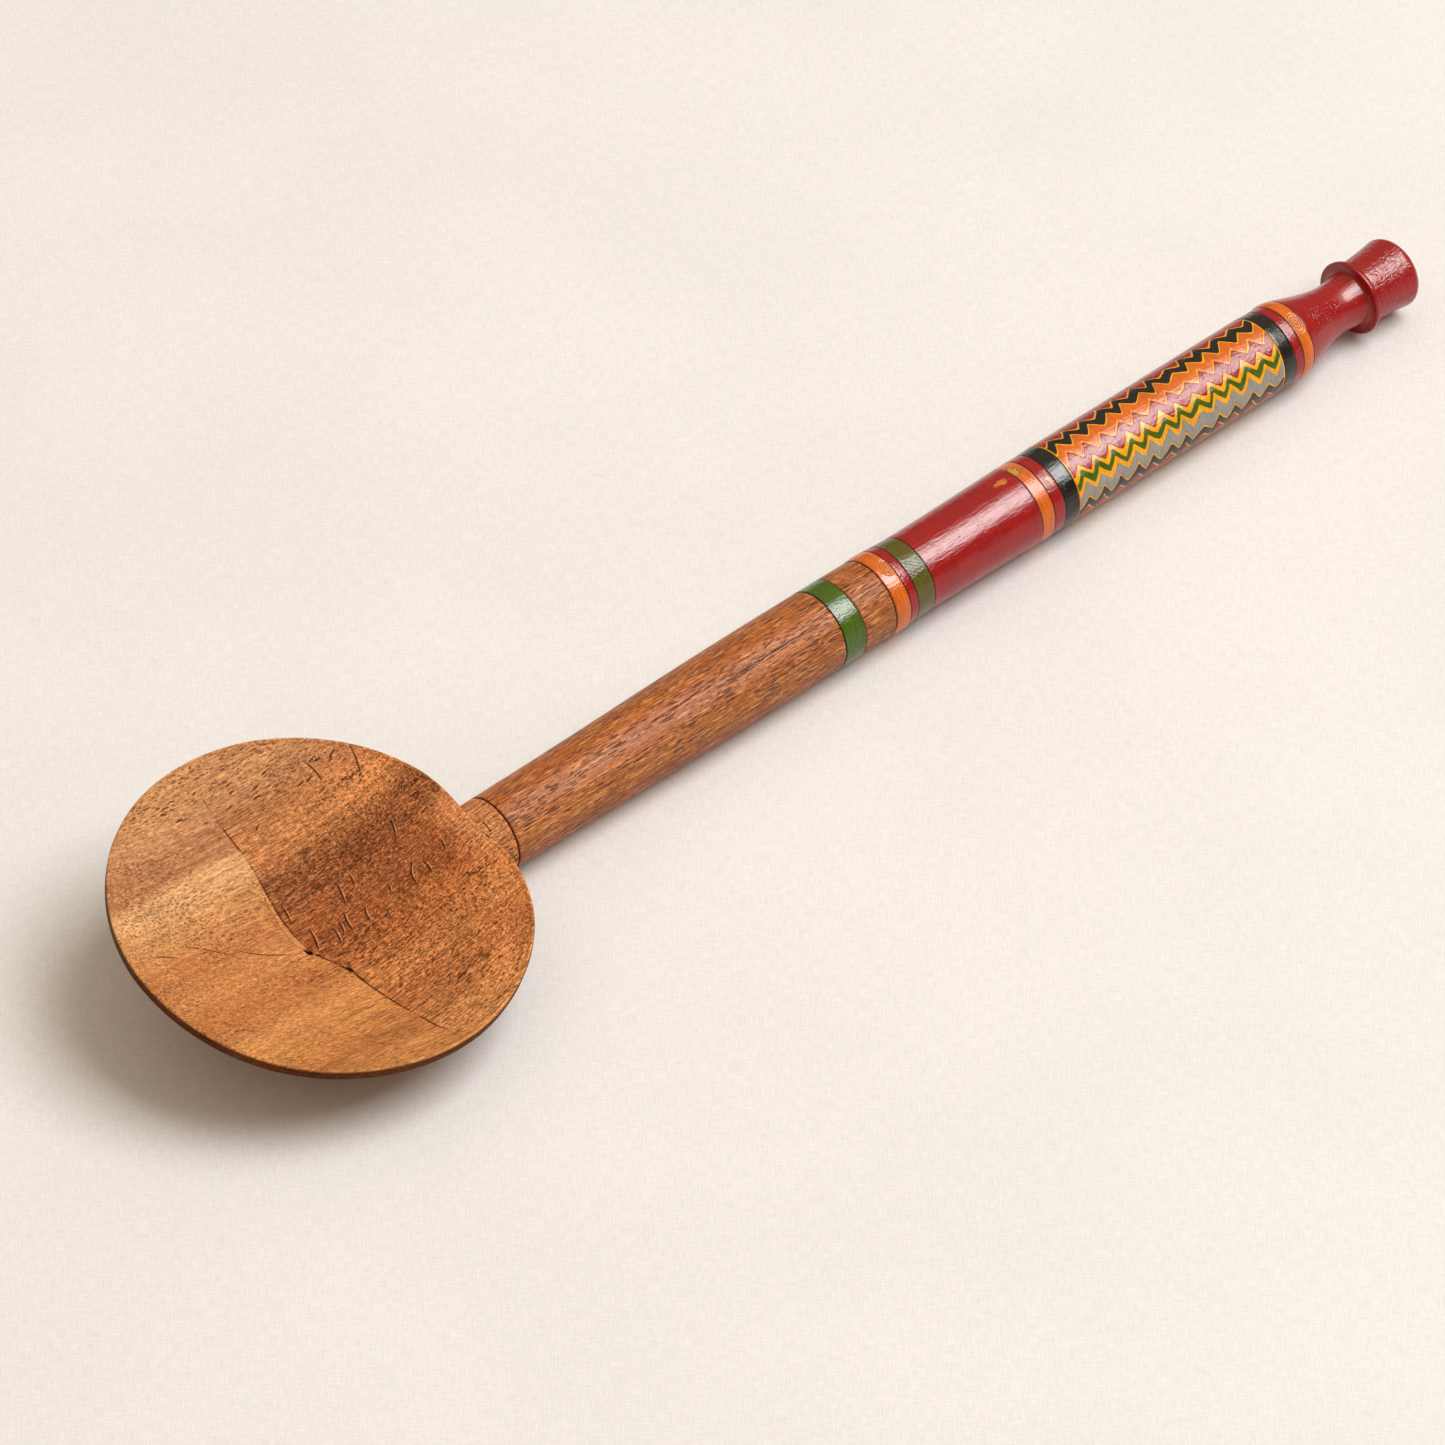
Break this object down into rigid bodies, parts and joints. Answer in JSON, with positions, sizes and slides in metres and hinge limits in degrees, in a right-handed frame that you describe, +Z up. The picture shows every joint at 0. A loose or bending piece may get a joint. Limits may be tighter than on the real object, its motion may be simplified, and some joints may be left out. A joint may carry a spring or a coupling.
{
  "type": "wooden ladle",
  "caption": "Wooden serving ladle: round carved bowl with a neck stub, glued to a turned handle with coloured lac bands, a combed zigzag panel, a waist, a flange and a finial.",
  "frame": {"origin": "on the table, on the bowl's rest face, straight under the handle's centre line at the bowl's centre", "axes": "+X along the handle from the bowl to the finial, +Z up from the table"},
  "size_m": [0.3838, 0.0899, 0.0353],
  "materials": {
    "bowl_wood": "oiled, open pored, tool marked",
    "handle_wood": "oiled, open pored",
    "glue": "dark red film",
    "lac_crimson": "burnished lac",
    "lac_orange": "burnished lac",
    "lac_green": "burnished lac, brush streaked",
    "lac_black": "burnished lac",
    "lac_yellow": "burnished lac",
    "lac_grey": "burnished lac"
  },
  "bodies": {
    "root": {"bowl": "bowl_wood", "handle_core": "handle_wood", "neck_glue": "glue", "green_band_lower": "lac_green", "orange_band_lower": "lac_orange", "crimson_line_lower": "lac_crimson", "green_band_upper": "lac_green", "crimson_sleeve": "lac_crimson", "orange_band_middle": "lac_orange", "crimson_line_middle": "lac_crimson", "black_band_lower": "lac_black", "panel_yellow_ground": "lac_yellow", "black_band_upper": "lac_black", "crimson_line_upper": "lac_crimson", "orange_band_upper": "lac_orange", "crimson_end_coat": "lac_crimson", "zigzag_crimson_top": "lac_crimson", "zigzag_black_top": "lac_black", "zigzag_orange_front": "lac_orange", "zigzag_crimson_front": "lac_crimson", "zigzag_green_front": "lac_green", "zigzag_grey_front": "lac_grey", "zigzag_black_under": "lac_black", "zigzag_crimson_under": "lac_crimson", "zigzag_green_under": "lac_green", "zigzag_grey_under": "lac_grey", "zigzag_orange_back": "lac_orange", "zigzag_crimson_back": "lac_crimson", "zigzag_black_back": "lac_black", "zigzag_green_back": "lac_green", "zigzag_grey_back": "lac_grey"}
  },
  "joints": []
}
